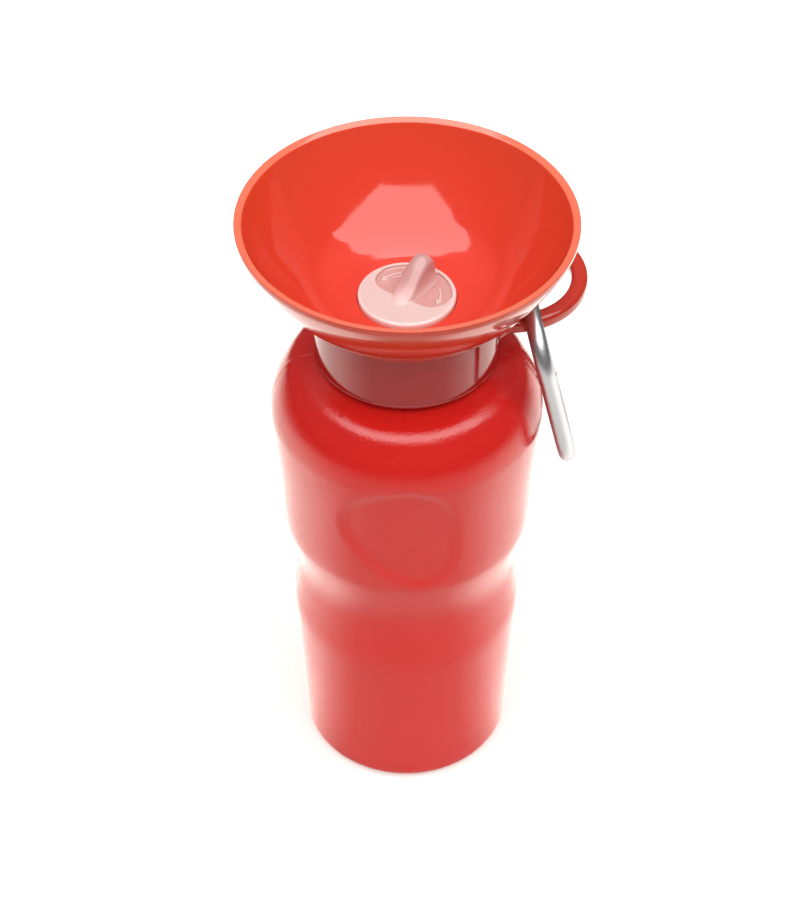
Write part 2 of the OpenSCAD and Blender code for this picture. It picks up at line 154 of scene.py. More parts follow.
FLOOR_SIZE = 12.0
FLOOR_TONE = 0.10
TABLE_R = 0.42
TABLE_FADE = 0.33  # width over which the bright table passes into the floor
TABLE_TONE = {"Red": 0.86, "Green": 0.84, "Blue": 0.78}
TABLE_WARMTH = (1.0, 0.96, 0.88, 1.0)
TABLE_IN_GLOSS = 1.15  # how bright the lit part of the table is in gloss
TABLE_FILL = 0.7  # and how much light it throws up
TABLE_LIT = (-0.75, -0.15)  # y over distance: the table is dark at the first, lit at the second
SHADOW_REACH = (0.10, 0.50)  # the shadow shows at the first distance and is gone at the second
SHADOW_LIGHT = 0.40  # the floor's own light where the shadow shows
SOFTBOX = 2.7  # its strength as a light
SOFTBOX_SEEN = 4.7  # and in gloss
SOFTBOX_Z = 1420.0  # in millimetres
ZENITH = 0.75  # how bright the room is overhead, in gloss
ZENITH_RISE = (0.5, 0.95)
ROOM = 0.20  # even fill from all round

CAMERA_PLACE = Vector((-0.00212, -0.5431, 0.6440))
CAMERA_AIM = Vector((-0.00212, 0.0, 0.12306))
CAMERA_LENS = 93.05
CAMERA_SENSOR = 36.0


# ---------------------------------------------------------------- curves


def smooth_curve(points, steps):
    """A smooth open curve through the points, with the same number of steps between each two."""
    out = []
    last = len(points) - 1
    for i in range(last):
        a = points[max(i - 1, 0)]
        b = points[i]
        c = points[i + 1]
        d = points[min(i + 2, last)]
        for s in range(steps):
            t = s / steps
            out.append(tuple(
                0.5 * (2 * b[k] + (c[k] - a[k]) * t
                       + (2 * a[k] - 5 * b[k] + 4 * c[k] - d[k]) * t ** 2
                       + (3 * b[k] - a[k] - 3 * c[k] + d[k]) * t ** 3)
                for k in range(2)
            ))
    out.append(tuple(points[last]))
    return out


def closed_curve(points, steps):
    """A smooth closed curve through the points."""
    count = len(points)
    wrapped = [points[(i - 1) % count] for i in range(count + 3)]
    curve = smooth_curve(wrapped, steps)
    return curve[steps:steps * (count + 1)]


def bow(a, b, sag, steps):
    """A curve from a to b that stands sag off the straight line."""
    dx, dz = b[0] - a[0], b[1] - a[1]
    run = math.hypot(dx, dz)
    out = []
    for s in range(steps + 1):
        t = s / steps
        push = 4 * sag * t * (1 - t) / run
        out.append((a[0] + dx * t + dz * push, a[1] + dz * t - dx * push))
    return out


def bend_between(a, b, c, steps):
    """A curve from a to c that leaves and arrives along the lines through b."""
    out = []
    for s in range(steps + 1):
        t = s / steps
        out.append(tuple(
            a[k] * (1 - t) ** 2 + b[k] * 2 * t * (1 - t) + c[k] * t ** 2 for k in range(2)
        ))
    return out


def inner_face(path, wall):
    """The path moved to its left by the wall's thickness."""
    out = []
    last = len(path) - 1
    for i, p in enumerate(path):
        q = path[min(i + 1, last)]
        r = path[max(i - 1, 0)]
        dx, dz = q[0] - r[0], q[1] - r[1]
        run = math.hypot(dx, dz)
        out.append((p[0] - dz * wall / run, p[1] + dx * wall / run))
    return out


def rounded(a, corner, c, radius, steps=4):
    """Points that round off the corner between a and c, from one tangent to the other."""
    v = Vector(corner)
    start = v + (Vector(a) - v).normalized() * radius
    end = v + (Vector(c) - v).normalized() * radius
    return bend_between(tuple(start), tuple(v), tuple(end), steps)


def eased(t):
    """0 up to t = 0, 1 from t = 1 on, and a smooth step between."""
    t = min(max(t, 0.0), 1.0)
    return t * t * (3 - 2 * t)


# ---------------------------------------------------------------- bench tools


def deselect_all():
    """Leaves edit mode, if in it, and lets go of every object."""
    if bpy.context.mode != "OBJECT":
        bpy.ops.object.mode_set(mode="OBJECT")
    bpy.ops.object.select_all(action="DESELECT")


def work_on(piece):
    """Makes this the one piece that the next operator acts on."""
    deselect_all()
    piece.select_set(True)
    bpy.context.view_layer.objects.active = piece


def edit(piece, mode="VERT"):
    """Opens a piece's mesh to work on its points, or its edges."""
    work_on(piece)
    bpy.ops.object.mode_set(mode="EDIT")
    bpy.ops.mesh.select_mode(type=mode)


def done():
    """Leaves edit mode."""
    bpy.ops.object.mode_set(mode="OBJECT")


def named(name):
    """Names the primitive that was just added, and gives it back."""
    piece = bpy.context.object
    piece.name = name
    piece.data.name = name
    return piece


def apply_modifier(piece, modifier):
    """Works a modifier into the piece's mesh."""
    work_on(piece)
    bpy.ops.object.modifier_apply(modifier=modifier.name)


def apply_place(piece):
    """Moves a piece's place, turn and size into its mesh."""
    work_on(piece)
    bpy.ops.object.transform_apply(location=True, rotation=True, scale=True)


def tidy_mesh(piece):
    """Merges doubled points, then turns every face outwards."""
    edit(piece)
    bpy.ops.mesh.select_all(action="SELECT")
    bpy.ops.mesh.remove_doubles(threshold=SAME_POINT * MM)
    bpy.ops.mesh.normals_make_consistent(inside=False)
    done()


def smooth(piece, angle):
    """Shades a piece smooth, apart from edges sharper than the angle in degrees."""
    work_on(piece)
    bpy.ops.object.shade_smooth_by_angle(angle=math.radians(angle))


def single_point(name, place):
    """A new piece with one point, at a place in metres."""
    deselect_all()
    bpy.ops.mesh.primitive_plane_add(size=0.001, location=place)
    piece = named(name)
    apply_place(piece)
    edit(piece)
    bpy.ops.mesh.select_all(action="SELECT")
    bpy.ops.mesh.merge(type="CENTER")
    return piece


def draw_line(name, path):
    """A new piece, left in edit mode: one line drawn from point to point, in millimetres."""
    piece = single_point(name, tuple(c * MM for c in path[0]))
    for a, b in zip(path, path[1:]):
        move = tuple((b[k] - a[k]) * MM for k in range(3))
        bpy.ops.mesh.extrude_region_move(TRANSFORM_OT_translate={"value": move})
    bpy.ops.mesh.select_all(action="SELECT")
    bpy.ops.mesh.remove_doubles(threshold=SAME_POINT * MM)
    bpy.ops.mesh.select_all(action="SELECT")
    return piece


def draw_face(name, corners):
    """A new piece, left in edit mode: one flat face with these corners, in millimetres."""
    piece = draw_line(name, list(corners) + [corners[0]])
    bpy.ops.mesh.edge_face_add()
    bpy.ops.mesh.select_all(action="SELECT")
    return piece


def pull(move):
    """Draws the selected face out by a distance in millimetres."""
    value = tuple(c * MM for c in move)
    bpy.ops.mesh.extrude_region_move(TRANSFORM_OT_translate={"value": value})


def close_solid():
    """Ends a drawn-out solid: every face outwards, and out of edit mode."""
    bpy.ops.mesh.select_all(action="SELECT")
    bpy.ops.mesh.normals_make_consistent(inside=False)
    done()


def turned(name, outline, steps, joined=False):
    """A piece turned round the Z axis from an outline of (radius, height), in millimetres."""
    path = list(outline) + ([outline[0]] if joined else [])
    piece = draw_line(name, [(r, 0.0, z) for r, z in path])
    bpy.ops.mesh.spin(
        steps=steps, angle=FULL_TURN, center=(0.0, 0.0, 0.0), axis=(0.0, 0.0, 1.0)
    )
    done()
    tidy_mesh(piece)
    return piece


def cut(piece, tool, how="DIFFERENCE"):
    """Cuts the tool out of the piece, or joins it on, and puts the tool away."""
    modifier = piece.modifiers.new("cut", "BOOLEAN")
    modifier.operation = how
    modifier.solver = "EXACT"
    modifier.object = tool
    apply_modifier(piece, modifier)
    bpy.data.objects.remove(tool)


def swept(name, section, path, heading, scales):
    """A bar swept along a flat path round +Z: the section is in its own plane, and each
    step moves the tip on, turns it by the path's turn and gives it its size."""
    piece = draw_face(name, [(across, 0.0, up) for across, up in section])
    places = [Vector([c * MM for c in point]) for point in path]
    bpy.ops.transform.translate(value=places[0])
    turn_tip(heading[0], places[0])
    size_tip(scales[0], places[0])
    for i in range(1, len(places)):
        move = places[i] - places[i - 1]
        bpy.ops.mesh.extrude_region_move(TRANSFORM_OT_translate={"value": move})
        turn_tip(heading[i] - heading[i - 1], places[i])
        size_tip(scales[i] / scales[i - 1], places[i])
    done()
    tidy_mesh(piece)
    return piece


def turn_tip(angle, centre):
    """Turns what is selected round +Z; without a window the operator turns the other way."""
    if abs(angle) > NEGLIGIBLE:
        bpy.ops.transform.rotate(value=-angle, orient_axis="Z", center_override=centre)


def size_tip(share, centre):
    """Gives what is selected a share of its size, about a point."""
    if abs(share - 1) > NEGLIGIBLE:
        bpy.ops.transform.resize(value=(share, share, share), center_override=centre)


# ---------------------------------------------------------------- bottle


def bottle_outline():
    """Half-section of the bottle's outside, from the middle of the base to the neck's top."""
    foot, edge_r = (35.1, 4.1), 4.1
    base = [(0.0, 2.2), (12.0, 2.2), (21.6, 2.2)]
    base += rounded((21.6, 2.2), (26.0, 0.0), (31.0, 0.0), 1.4)
    edge = [
        (31.0 + edge_r * math.sin(math.radians(a)), edge_r * (1 - math.cos(math.radians(a))))
        for a in range(0, 90, 10)
    ]
    side = [
        foot, (35.93, 24.58), (37.25, 50.76), (37.6, 61.0), (36.6, 69.4), (35.7, 79.0),
        (36.4, 86.0), (37.8, 92.0), (39.3, 97.6), (40.2, 103.0), (41.03, 120.6),
        (42.55, 140.84), (42.7, 147.0), (41.4, 153.0), (39.1, 158.1), (36.6, 162.0),
        (34.5, 163.7), (31.6, 164.8), (28.7, 165.7), (26.0, 166.8),
    ]
    wall = spaced(smooth_curve(side, 24))
    neck = [(25.15, 167.7)]
    neck += [(NECK_R, 168.8), (NECK_R, 173.0), (NECK_R, 178.0), (NECK_R, 182.4)]
    neck += rounded((NECK_R, 178.0), (NECK_R, NECK_TOP), (NECK_BORE, NECK_TOP), 0.5, 3)
    return base + edge + wall + neck


def spaced(points):
    """Thins a fine path: close rows where the thumb recesses are, wider rows elsewhere."""
    kept = [points[0]]
    run = 0.0
    for a, b in zip(points, points[1:]):
        run += math.dist(a, b)
        fine = FINE_ROWS[0] < b[1] < FINE_ROWS[1]
        if run >= (FINE_ROW if fine else WIDE_ROW):
            kept.append(b)
            run = 0.0
    if kept[-1] != points[-1]:
        kept.append(points[-1])
    return kept


THUMB_SHAPE = [
    (-1.02, 0.13), (-0.94, 0.46), (-0.72, 0.72), (-0.3, 0.92), (0.2, 1.0), (0.6, 0.86),
    (0.88, 0.56), (0.99, 0.05), (0.94, -0.53), (0.74, -0.92), (0.33, -1.04), (-0.05, -0.92),
    (-0.54, -0.62), (-0.92, -0.17),
]


def thumb_outline():
    """The front recess's outline as (across, height)."""
    return [
        (p[0] * THUMB_W / 2 + THUMB_X, p[1] * THUMB_H / 2 + THUMB_Z)
        for p in closed_curve(THUMB_SHAPE, 10)
    ]


def inside_by(outline, x, z):
    """How far a point lies inside a closed outline, in millimetres; less than 0 is outside."""
    nearest = 1e9
    inside = False
    previous = outline[-1]
    for here in outline:
        ax, az = previous
        bx, bz = here
        if (az > z) != (bz > z) and x < (bx - ax) * (z - az) / (bz - az) + ax:
            inside = not inside
        dx, dz = bx - ax, bz - az
        t = ((x - ax) * dx + (z - az) * dz) / (dx * dx + dz * dz)
        t = min(max(t, 0.0), 1.0)
        nearest = min(nearest, math.hypot(x - ax - t * dx, z - az - t * dz))
        previous = here
    return nearest if inside else -nearest


def press_thumb_recesses(piece):
    """Sinks a soft-edged thumb recess into the front of the grip, and one into its back."""
    outline = thumb_outline()
    group = piece.vertex_groups.new(name="thumb")
    for point in piece.data.vertices:
        x, y, z = (c / MM for c in point.co)
        if not THUMB_ROWS[0] < z < THUMB_ROWS[1]:
            continue
        across = x if y < 0 else -x
        depth = inside_by(outline, across, z)
        weight = eased((depth + THUMB_OVER) / THUMB_SLOPE)
        if weight > 0:
            group.add([point.index], weight, "REPLACE")
    press = piece.modifiers.new("press", "DISPLACE")
    press.vertex_group = "thumb"
    press.strength = -THUMB_DEPTH * MM
    press.mid_level = 0.0
    apply_modifier(piece, press)


def raise_parting_line(piece):
    """The fine line that the two halves of the blow mould leave, at both sides."""
    edit(piece, "EDGE")
    bpy.ops.mesh.select_all(action="DESELECT")
    done()
    mesh = piece.data
    low, high = PARTING_Z
    for edge in mesh.edges:
        a, b = (mesh.vertices[i].co for i in edge.vertices)
        on_line = abs(a.y) < 1e-7 and abs(b.y) < 1e-7 and a.x * b.x > 0
        edge.select = on_line and low < a.z / MM < high and low < b.z / MM < high
    bpy.ops.object.mode_set(mode="EDIT")
    bpy.ops.mesh.bevel(offset=PARTING_HALF * MM, segments=2, profile=0.5)
    done()
    group = piece.vertex_groups.new(name="parting")
    for point in mesh.vertices:
        if abs(point.co.y) < 1e-6 and PARTING_RAISED[0] < point.co.z / MM < PARTING_RAISED[1]:
            group.add([point.index], 1.0, "REPLACE")
    ridge = piece.modifiers.new("ridge", "DISPLACE")
    ridge.vertex_group = "parting"
    ridge.strength = PARTING_H * MM
    ridge.mid_level = 0.0
    apply_modifier(piece, ridge)


def give_wall(piece):
    """Turns the shell into a wall: thin in the squeeze body, thicker at the neck."""
    thin = BODY_WALL / NECK_WALL
    group = piece.vertex_groups.new(name="wall")
    for point in piece.data.vertices:
        share = eased((point.co.z / MM - WALL_CHANGE_Z) / WALL_CHANGE_H)
        group.add([point.index], thin + (1 - thin) * share, "REPLACE")
    wall = piece.modifiers.new("wall", "SOLIDIFY")
    wall.thickness = NECK_WALL * MM
    wall.offset = -1.0
    wall.vertex_group = "wall"
    wall.use_even_offset = True
    apply_modifier(piece, wall)


def make_bottle():
    """The squeeze bottle: a turned shell, its parting line and thumb recesses, then its wall."""
    piece = turned("squeeze_bottle", bottle_outline(), 288)
    raise_parting_line(piece)
    press_thumb_recesses(piece)
    give_wall(piece)
    smooth(piece, 35.0)
    return piece


def make_thread(name, root_r, crest, low_z, turns, sink):
    """A screw thread of trapezoid section, whose ends fade into the wall."""
    steps_per_turn = 60
    steps = int(turns * steps_per_turn)
    fade = 10
    section = [
        (0.0, -THREAD_ROOT_HALF), (crest, -THREAD_CREST_HALF),
        (crest, THREAD_CREST_HALF), (0.0, THREAD_ROOT_HALF),
    ]
    piece = draw_face(name, [(root_r + out, 0.0, low_z + up) for out, up in section])
    size_round(1 + sink)
    before = 1 + sink
    for i in range(1, steps + 1):
        bpy.ops.mesh.extrude_region_move(
            TRANSFORM_OT_translate={"value": (0.0, 0.0, PITCH * MM / steps_per_turn)}
        )
        turn_tip(FULL_TURN / steps_per_turn, Vector((0.0, 0.0, 0.0)))
        near_end = min(i, steps - i)
        share = 1 + sink * (1 - eased(near_end / fade))
        size_round(share / before)
        before = share
    done()
    tidy_mesh(piece)
    smooth(piece, 30.0)
    return piece


def size_round(share):
    """Draws what is selected in towards the Z axis, or out from it."""
    if abs(share - 1) > NEGLIGIBLE:
        bpy.ops.transform.resize(value=(share, share, 1.0), center_override=(0.0, 0.0, 0.0))


# ---------------------------------------------------------------- bowl


def bowl_section():
    """Half-section of the bowl, its collar and the valve's housing, as a closed path."""
    outer = bow((COLLAR_R, WALL_Z), (RIM_R, WALL_Z + BOWL_RISE), BOWL_BELLY, 44)
    inner = inner_face(outer, BOWL_WALL)
    edge = (RIM_R + 0.08, RIM_TOP)
    brim = (inner[-1][0] + 0.05, inner[-1][1] + 0.1)
    lip = rounded(outer[-1], edge, brim, 0.35, 6) + rounded(edge, brim, inner[-3], 0.4, 5)
    wall = [p for p in reversed(inner[:-2]) if p[1] > FLOOR_Z + FLOOR_TURN_H]
    floor = bend_between(wall[-1], (FLOOR_TURN_R, FLOOR_Z), (FLOOR_FLAT_R, FLOOR_Z), 22)[1:]
    bead_r, bead_top = COLLAR_R + 0.07, COLLAR_Z + 1.1
    collar = [(COLLAR_BORE, COLLAR_Z)]
    collar += rounded((COLLAR_BORE, COLLAR_Z), (bead_r, COLLAR_Z), (bead_r, bead_top), 0.3)
    collar += rounded((bead_r, COLLAR_Z), (bead_r, bead_top), (COLLAR_R, bead_top), 0.25, 3)
    collar += [(COLLAR_R, COLLAR_Z + 1.3 + i * 1.4) for i in range(12)]
    seat_r = DISC_R + DISC_GAP
    seat = rounded((FLOOR_FLAT_R, FLOOR_Z), (seat_r, FLOOR_Z), (seat_r, RECESS_Z), 0.3, 3)
    seat += [(seat_r, RECESS_Z), (SEAT_R, RECESS_Z)]
    seat += rounded((SEAT_R, RECESS_Z), (HOUSING_BORE, RECESS_Z), (HOUSING_BORE, CHAMBER_Z), 0.2, 2)
    seat += [(HOUSING_BORE, RECESS_Z - 1.5 * i) for i in range(1, 11)]
    seat += [
        (HOUSING_BORE, CHAMBER_Z), (PASSAGE_R, CHAMBER_Z), (PASSAGE_R, SOCKET_TOP),
        (SOCKET_BORE, SOCKET_TOP), (SOCKET_BORE, SOCKET_END), (SOCKET_R, SOCKET_END),
        (SOCKET_R, SOCKET_TOP - 1), (HOUSING_R, CHAMBER_Z), (HOUSING_R, CEILING_Z),
        (COLLAR_BORE, CEILING_Z),
    ]
    return collar + outer + lip + wall + floor + seat


def cam_groove(turn):
    """The tool for one cam groove: a block swept up the path that the valve's lug follows."""
    steps = 24
    piece = peg("cam_groove", CAM_R, LUG_ROOT, CAM_OUT - LUG_ROOT, turn, LUG_Z)
    later = []
    for i in range(1, steps + 1):
        next_cut = piece.copy()
        next_cut.data = piece.data.copy()
        bpy.context.scene.collection.objects.link(next_cut)
        later.append(next_cut)
        edit(next_cut)
        bpy.ops.mesh.select_all(action="SELECT")
        bpy.ops.transform.translate(value=(0.0, 0.0, CAM_LIFT * MM * i / steps))
        turn_tip(math.pi / 2 * i / steps, Vector((0.0, 0.0, 0.0)))
        done()
    for next_cut in later:
        cut(piece, next_cut, "UNION")
    return piece


def loop_bar_section():
    """Outline of the carry loop's bar: flat above and below, round at the sides."""
    out = []
    half_w, half_t = LOOP_W / 2, LOOP_T / 2
    for corner in range(4):
        cx = (half_w - LOOP_SOFT) * (1 if corner in (0, 3) else -1)
        cz = (half_t - LOOP_SOFT) * (1 if corner in (0, 1) else -1)
        for k in range(6):
            a = math.radians(90 * corner + 18 * k)
            out.append((cx + LOOP_SOFT * math.cos(a), cz + LOOP_SOFT * math.sin(a)))
    return out


def make_carry_loop():
    """The loop's bar, swept round its centre and spread where it meets the collar."""
    centre = (LOOP_REACH * math.cos(LOOP_TURN), LOOP_REACH * math.sin(LOOP_TURN))
    steps = 120
    first = LOOP_TURN - LOOP_SWEEP / 2
    path, heading, scales = [], [], []
    for i in range(steps + 1):
        a = first + LOOP_SWEEP * i / steps
        x = centre[0] + LOOP_R * math.cos(a)
        y = centre[1] + LOOP_R * math.sin(a)
        path.append((x, y, LOOP_Z))
        heading.append(a)
        reach = math.hypot(x, y) - COLLAR_R
        scales.append(1 + 0.9 * (1 - eased((reach + 0.6) / (FLARE + 1.2))) ** 2)
    loop = swept("carry_loop", loop_bar_section(), path, heading, scales)
    core_r, low, high = COLLAR_R - LOOP_ROOT, LOOP_Z - 9, LOOP_Z + 9
    cut(loop, turned("core", [(0.0, low), (core_r, low), (core_r, high), (0.0, high)], 192))
    return loop


def make_bowl():
    """Bowl, collar and housing turned as one, with the cam grooves cut and the loop joined on."""
    piece = turned("drinking_bowl", bowl_section(), 256, joined=True)
    for turn in (FIN_TURN, FIN_TURN + math.pi):
        cut(piece, cam_groove(turn))
    cut(piece, make_carry_loop(), "UNION")
    smooth(piece, 32.0)
    return piece


# ---------------------------------------------------------------- valve


FIN_SIDE = [
    (-6.4, 0.0), (-4.8, 0.35), (-3.2, 1.1), (-1.2, 2.5), (1.2, 4.6), (3.6, 6.7), (5.8, 8.1),
    (7.8, 8.7), (9.4, 8.5), (10.6, 7.7), (11.4, 6.3), (11.85, 4.4), (12.0, 2.2),
]


def make_fin():
    """The grip: a round-topped section drawn along its length, as high as its side view."""
    half_w, round_r = FIN_T / 2, FIN_T / 2 - 0.3
    right = [
        (half_w + 1.2, 0.0), (half_w + 0.95, 0.6), (half_w + 0.5, 1.5), (half_w + 0.2, 2.7),
        (half_w, 4.4),
    ]
    height = FIN_H + FIN_SINK
    top = [
        (round_r * math.cos(math.radians(a)), height + round_r * (math.sin(math.radians(a)) - 1))
        for a in range(0, 91, 10)
    ]
    half = right + top[1:]
    corners = half + [(-y, z) for y, z in reversed(half[:-1])]
    side = smooth_curve(FIN_SIDE, 3)
    low = DISC_TOP - FIN_SINK
    fin = draw_face("fin", [(side[0][0], y, low + z) for y, z in corners])
    size_fin(side[0], 1.0, FIN_H, low)
    before = side[0]
    for here in side[1:]:
        pull((here[0] - before[0], 0.0, 0.0))
        size_fin(here, fin_width(here[0]) / fin_width(before[0]), before[1], low)
        before = here
    close_solid()
    fin.rotation_euler = (0.0, 0.0, FIN_TURN)
    apply_place(fin)
    return fin


def fin_width(along):
    """The fin draws in a little at its low end and round its high end."""
    front = 0.75 + 0.25 * eased((along + 6.4) / 5.0)
    back = 0.60 + 0.40 * math.sqrt(max(0.0, 1 - max(0.0, (along - 8.6) / 3.5) ** 2))
    return front * back


def size_fin(here, across, height_before, low):
    """Gives the fin's section its width and its height over the disc."""
    up = (here[1] + FIN_SINK) / (height_before + FIN_SINK)
    centre = (here[0] * MM, 0.0, low * MM)
    bpy.ops.transform.resize(value=(1.0, across, up), center_override=centre)


def finger_pocket(side):
    """The tool for the sunk half of the disc on one side of the fin, open to the fin's foot."""
    beside = 2.2
    front = [(POCKET_FRONT, beside), (POCKET_FRONT + 0.1, 6.6), (POCKET_FRONT + 0.9, 9.6)]
    front += [(POCKET_FRONT + 3.1, 11.7), (POCKET_FRONT + 5.6, 12.4)]
    first = math.radians(64)
    last = math.asin(beside / POCKET_R)
    bend = []
    for i in range(25):
        a = first + (last - first) * i / 24
        bend.append((POCKET_R * math.cos(a), POCKET_R * math.sin(a)))
    corners = smooth_curve(front, 5) + bend
    ordered = corners if side > 0 else [(x, -y) for x, y in reversed(corners)]
    pocket = draw_face("pocket", [(x, y, DISC_TOP - POCKET_DEEP) for x, y in ordered])
    pull((0.0, 0.0, POCKET_DEEP + 1.5))
    close_solid()
    pocket.rotation_euler = (0.0, 0.0, FIN_TURN)
    apply_place(pocket)
    return pocket


def peg(name, radius, start, length, turn, height):
    """A round peg that points out from the Z axis."""
    deselect_all()
    bpy.ops.mesh.primitive_cylinder_add(
        vertices=32, radius=radius * MM, depth=length * MM,
        location=((start + length / 2) * MM, 0.0, height * MM), rotation=(0.0, math.pi / 2, 0.0)
    )
    piece = named(name)
    apply_place(piece)
    piece.rotation_euler = (0.0, 0.0, turn)
    apply_place(piece)
    return piece


def arrow(turn, flip):
    """A plain raised arrow that bends round the disc, to show the way it turns."""
    low = DISC_TOP - POCKET_DEEP - 0.6
    steps = 12
    span = math.radians(ARROW_SPAN) * flip
    turns = [turn + span * i / steps for i in range(steps + 1)]
    outer = [(ARROW_R + ARROW_HALF, a) for a in turns]
    inner = [(ARROW_R - ARROW_HALF, a) for a in reversed(turns)]
    end, tip = turns[-1], turn + span * 1.5
    head = [(ARROW_R + ARROW_HEAD, end), (ARROW_R, tip), (ARROW_R - ARROW_HEAD, end)]
    piece = draw_face("arrow", [
        (r * math.cos(a), r * math.sin(a), low) for r, a in outer + head + inner
    ])
    pull((0.0, 0.0, 1.2))
    close_solid()
    return piece


def make_valve():
    """The twist valve: disc, grip, hollow stem, ports and lugs, joined as one moulding."""
    piece = turned(
        "twist_valve",
        [(0.0, DISC_TOP), (DISC_R - 0.8, DISC_TOP), (DISC_R - 0.3, DISC_TOP - 0.14),
         (DISC_R - 0.06, DISC_TOP - 0.42), (DISC_R, DISC_TOP - 0.8), (DISC_R, DISC_Z + 0.25),
         (DISC_R - 0.25, DISC_Z), (SEAL_OUT, DISC_Z), (SEAL_OUT, SEAL_TOP), (SEAL_IN, SEAL_TOP),
         (SEAL_IN, DISC_Z), (8.9, DISC_Z), (STEM_R, DISC_Z - STEM_ROUND), (STEM_R, STEM_END),
         (STEM_BORE, STEM_END), (STEM_BORE, DISC_Z), (0.0, DISC_Z)],
        128,
    )
    for side in (-1, 1):
        cut(piece, finger_pocket(side))
    cut(piece, make_fin(), "UNION")
    for turn in (FIN_TURN, FIN_TURN + math.pi):
        cut(piece, peg("lug", LUG_R, LUG_ROOT, LUG_LEN, turn, LUG_Z), "UNION")
    for i in range(4):
        cut(piece, port(FIN_TURN + math.pi / 2 * (i + 0.5)))
    for start, way in ((98, 1), (14, -1)):
        cut(piece, arrow(math.radians(start), way), "UNION")
    melt = piece.modifiers.new("melt", "REMESH")
    melt.mode = "VOXEL"
    melt.voxel_size = MELT * MM
    apply_modifier(piece, melt)
    soften_valve(piece)
    work_on(piece)
    bpy.ops.object.shade_smooth()
    return piece


def soften_valve(piece):
    """Rounds the grip most, the disc's edge half as much, and the rest a little."""
    group = piece.vertex_groups.new(name="grip")
    for point in piece.data.vertices:
        x, y, z = (c / MM for c in point.co)
        high = eased((z - DISC_TOP - 0.1) / 0.5)
        edge = eased((math.hypot(x, y) - 12.4) / 0.6)
        group.add([point.index], 0.22 + 0.78 * max(high, 0.5 * edge), "REPLACE")
    soften = piece.modifiers.new("soften", "SMOOTH")
    soften.factor = 0.5
    soften.iterations = 12
    soften.vertex_group = "grip"
    apply_modifier(piece, soften)


def port(turn):
    """The tool for one water port at the top of the stem."""
    deselect_all()
    height = DISC_Z - PORT_BELOW - PORT_SIZE[2] / 2
    bpy.ops.mesh.primitive_cube_add(
        size=1.0, location=(PORT_REACH * MM, 0.0, height * MM),
        scale=tuple(c * MM for c in PORT_SIZE),
    )
    piece = named("port")
    apply_place(piece)
    piece.rotation_euler = (0.0, 0.0, turn)
    apply_place(piece)
    return piece


# ---------------------------------------------------------------- materials


def new_material(name):
    """A material, its node tree and its shader."""
    material = bpy.data.materials.new(name)
    material.use_nodes = True
    tree = material.node_tree
    shader = tree.nodes["Principled BSDF"]
    return material, tree, shader


def new_group(name, takes, gives):
    """A node group with these inputs, as name and kind, and one output."""
    tree = bpy.data.node_groups.new(name, "ShaderNodeTree")
    for socket, kind in takes:
        tree.interface.new_socket(socket, in_out="INPUT", socket_type="NodeSocket" + kind)
    tree.interface.new_socket(gives[0], in_out="OUTPUT", socket_type="NodeSocket" + gives[1])
    return tree, tree.nodes.new("NodeGroupInput"), tree.nodes.new("NodeGroupOutput")


def grain_group():
    """Moulded grain: fine pits and slow waves, as a height from 0 to 1."""
    takes = [("Fine Scale", "Float"), ("Slow Scale", "Float"), ("Slow Share", "Float")]
    tree, inside, outside = new_group("moulded_grain", takes, ("Height", "Float"))
    place = tree.nodes.new("ShaderNodeTexCoord")
    fine = tree.nodes.new("ShaderNodeTexNoise")
    fine.inputs["Detail"].default_value = 2.0
    slow = tree.nodes.new("ShaderNodeTexNoise")
    slow.inputs["Detail"].default_value = 1.0
    mix = tree.nodes.new("ShaderNodeMix")
    tree.links.new(place.outputs["Object"], fine.inputs["Vector"])
    tree.links.new(place.outputs["Object"], slow.inputs["Vector"])
    tree.links.new(inside.outputs["Fine Scale"], fine.inputs["Scale"])
    tree.links.new(inside.outputs["Slow Scale"], slow.inputs["Scale"])
    tree.links.new(inside.outputs["Slow Share"], mix.inputs["Factor"])
    tree.links.new(fine.outputs["Fac"], mix.inputs["A"])
    tree.links.new(slow.outputs["Fac"], mix.inputs["B"])
    tree.links.new(mix.outputs["Result"], outside.inputs["Height"])
    return tree


def mottle_group():
    """Slow, slight change between two colours, as in pigmented plastic."""
    takes = [("Colour A", "Color"), ("Colour B", "Color"), ("Scale", "Float")]
    tree, inside, outside = new_group("pigment_mottle", takes, ("Colour", "Color"))
    place = tree.nodes.new("ShaderNodeTexCoord")
    noise = tree.nodes.new("ShaderNodeTexNoise")
    noise.inputs["Detail"].default_value = 3.0
    mix = tree.nodes.new("ShaderNodeMix")
    mix.data_type = "RGBA"
    tree.links.new(place.outputs["Object"], noise.inputs["Vector"])
    tree.links.new(inside.outputs["Scale"], noise.inputs["Scale"])
    tree.links.new(noise.outputs["Fac"], mix.inputs["Factor"])
    tree.links.new(inside.outputs["Colour A"], mix.inputs["A"])
    tree.links.new(inside.outputs["Colour B"], mix.inputs["B"])
    tree.links.new(mix.outputs["Result"], outside.inputs["Colour"])
    return tree


GRAIN = grain_group()
MOTTLE = mottle_group()


def times(tree, a, b):
    """Two values multiplied."""
    product = tree.nodes.new("ShaderNodeMath")
    product.operation = "MULTIPLY"
    tree.links.new(a, product.inputs[0])
    tree.links.new(b, product.inputs[1])
    return product.outputs["Value"]


def spread(tree, value, low, high, at_low, at_high):
    """Maps a value's range to another one, held at its ends."""
    node = tree.nodes.new("ShaderNodeMapRange")
    node.inputs["From Min"].default_value = low
    node.inputs["From Max"].default_value = high
    node.inputs["To Min"].default_value = at_low
    node.inputs["To Max"].default_value = at_high
    tree.links.new(value, node.inputs["Value"])
    return node.outputs["Result"]


